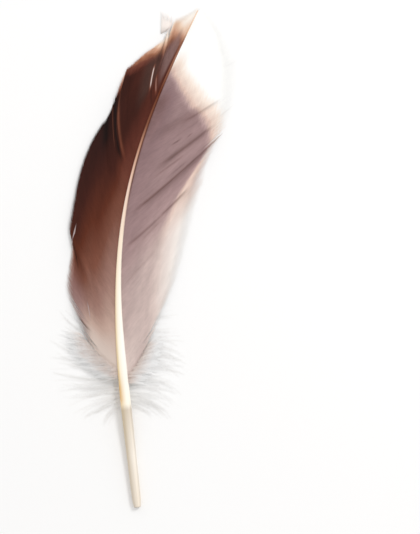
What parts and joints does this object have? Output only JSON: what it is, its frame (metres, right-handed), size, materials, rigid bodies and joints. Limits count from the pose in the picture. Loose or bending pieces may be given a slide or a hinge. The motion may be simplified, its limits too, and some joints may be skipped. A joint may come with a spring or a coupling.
{
  "type": "goose feather",
  "caption": "Curved goose flight feather: a narrow dark brown vane, a wide pale vane parted into locks, loose white down and a bare round quill. It lies flat on a surface.",
  "frame": {"origin": "middle of the feather's box, on the surface it lies on", "axes": "+Y from the quill's end to the tip along the straight line between them, +Z out of the upper, outer face, +X towards the wide pale vane"},
  "size_m": [0.0704, 0.2216, 0.0085],
  "materials": {
    "outer_vane": "matt dark brown keratin barbs, paler towards the quill",
    "inner_vane": "matt grey-brown keratin barbs fading to cream at the edge",
    "down": "loose off-white downy barbs",
    "shaft": "smooth cream horn with a soft sheen, brown towards the tip"
  },
  "bodies": {
    "root": {"feather": "outer_vane"}
  },
  "joints": []
}
